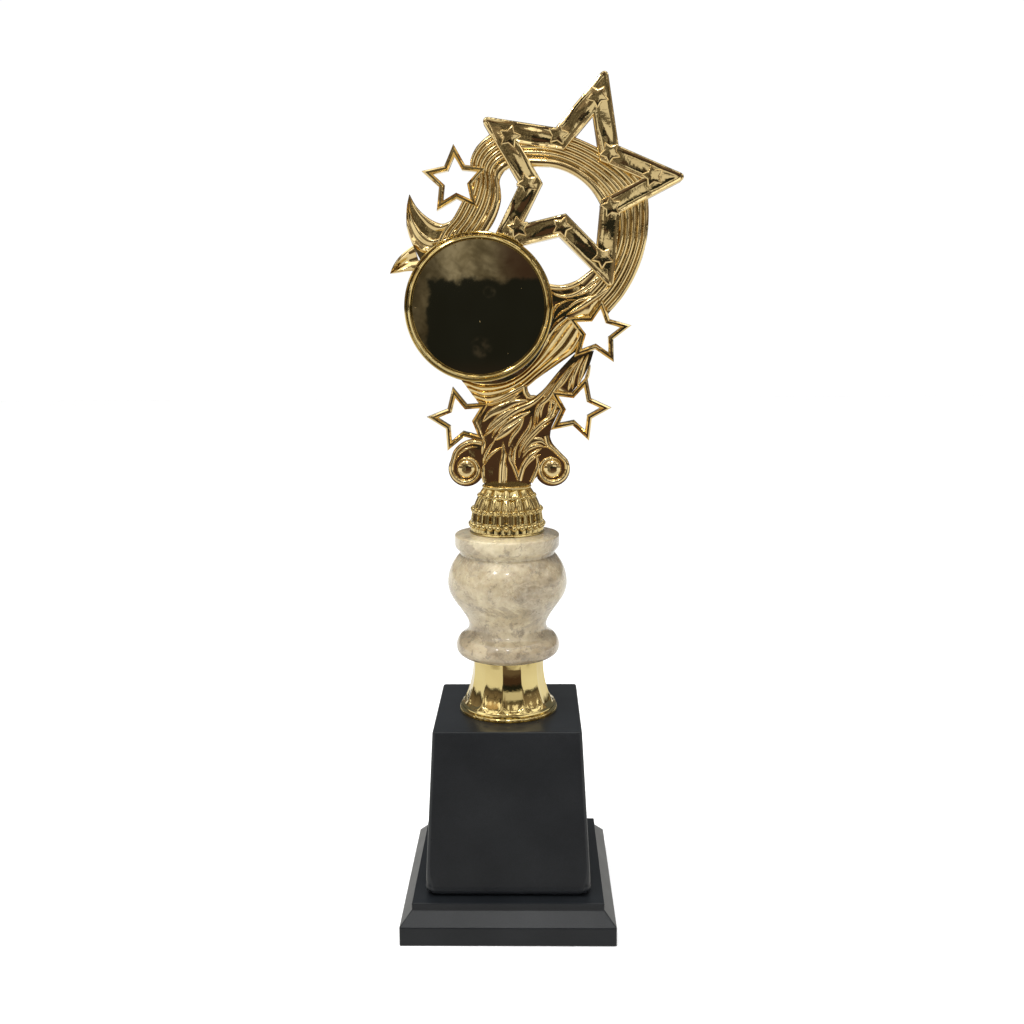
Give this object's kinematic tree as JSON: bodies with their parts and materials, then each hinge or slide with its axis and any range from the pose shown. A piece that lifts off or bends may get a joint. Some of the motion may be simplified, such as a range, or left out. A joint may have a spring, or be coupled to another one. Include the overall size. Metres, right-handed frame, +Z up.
{
  "type": "star trophy",
  "caption": "Trophy with a gold openwork star and ribbon figure that holds a round medal centre, on a turned stone column and a black stepped base.",
  "frame": {"origin": "centre of the base's underside, on the axis of the rod", "axes": "+Z up along the rod, -Y out of the figure's front face, +X to the right seen from the front"},
  "size_m": [0.1114, 0.0836, 0.3274],
  "materials": {
    "gold_plate": "plastic plated in bright gold, mirror gloss",
    "mirror_disc": "flat gold mirror",
    "black_plastic": "moulded black plastic, satin, finely textured",
    "marble": "cream marble with grey-brown veins, polished",
    "felt": "dark green felt",
    "fibreboard": "brown fibreboard",
    "cement": "rough cast cement",
    "zinc_steel": "zinc plated",
    "brass_insert": "turned brass"
  },
  "bodies": {
    "root": {"plinth": "black_plastic", "base_cover": "fibreboard", "felt_pad": "felt", "pedestal_block": "black_plastic", "ballast_block": "cement", "tie_rod": "zinc_steel", "tie_nuts": "zinc_steel", "tie_washers": "zinc_steel", "fluted_collar": "gold_plate", "stone_column": "marble", "beaded_seat": "gold_plate", "figure_stub": "gold_plate", "threaded_insert": "brass_insert", "flame_stem": "gold_plate", "scroll_left": "gold_plate", "scroll_right": "gold_plate", "swoosh_band": "gold_plate", "orbit_ribbon": "gold_plate", "tail_flame": "gold_plate", "star_frame": "gold_plate", "small_star_upper_left": "gold_plate", "small_star_lower_left": "gold_plate", "small_star_right": "gold_plate", "small_star_lower_right": "gold_plate", "medal_holder": "gold_plate", "medal_disc": "mirror_disc"}
  },
  "joints": []
}
